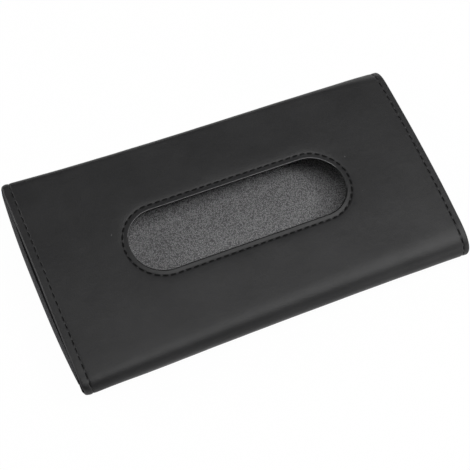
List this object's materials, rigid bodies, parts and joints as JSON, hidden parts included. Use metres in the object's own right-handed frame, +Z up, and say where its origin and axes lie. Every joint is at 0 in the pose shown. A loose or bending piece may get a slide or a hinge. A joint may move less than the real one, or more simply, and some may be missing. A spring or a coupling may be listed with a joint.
{
  "type": "car tissue holder",
  "caption": "Flat leather sleeve that holds a pack of tissues, with a stitched oblong slot in its front, a magnetic back flap and elastic straps for a sun visor.",
  "frame": {"origin": "centre of the bounding box at its lowest plane, under the visor straps", "axes": "+X along the length, +Y across the width towards the flap's hinge, +Z up out of the slotted front face"},
  "size_m": [0.23, 0.122, 0.02],
  "materials": {
    "leather": "smooth matte black artificial leather",
    "lining": "fine pebbled dark grey lining",
    "thread": "black sewing thread",
    "elastic": "woven black elastic",
    "strip": "grey fibreboard",
    "magnet": "nickel-plated magnet"
  },
  "bodies": {
    "sleeve": {"front_cover": "leather", "sleeve_lining": "lining", "lip_strip": "strip", "lip_magnet_left": "magnet", "lip_magnet_right": "magnet", "slot_stitching": "thread", "left_end_stitching": "thread", "right_end_stitching": "thread", "lip_edge_stitching": "thread"},
    "back_flap": {"flap_cover": "leather", "flap_lining": "lining", "flap_strip": "strip", "flap_magnet_left": "magnet", "flap_magnet_right": "magnet", "flap_stitching": "thread", "visor_strap_left": "elastic", "visor_strap_right": "elastic", "strap_tack_left_near": "thread", "strap_tack_left_far": "thread", "strap_tack_right_near": "thread", "strap_tack_right_far": "thread"}
  },
  "joints": [
    {"name": "flap_hinge", "type": "hinge", "parent": "sleeve", "child": "back_flap", "pos_m": [0, 0.051, 0.0015], "axis": [1, 0, 0], "range_deg": [0, 170]}
  ]
}
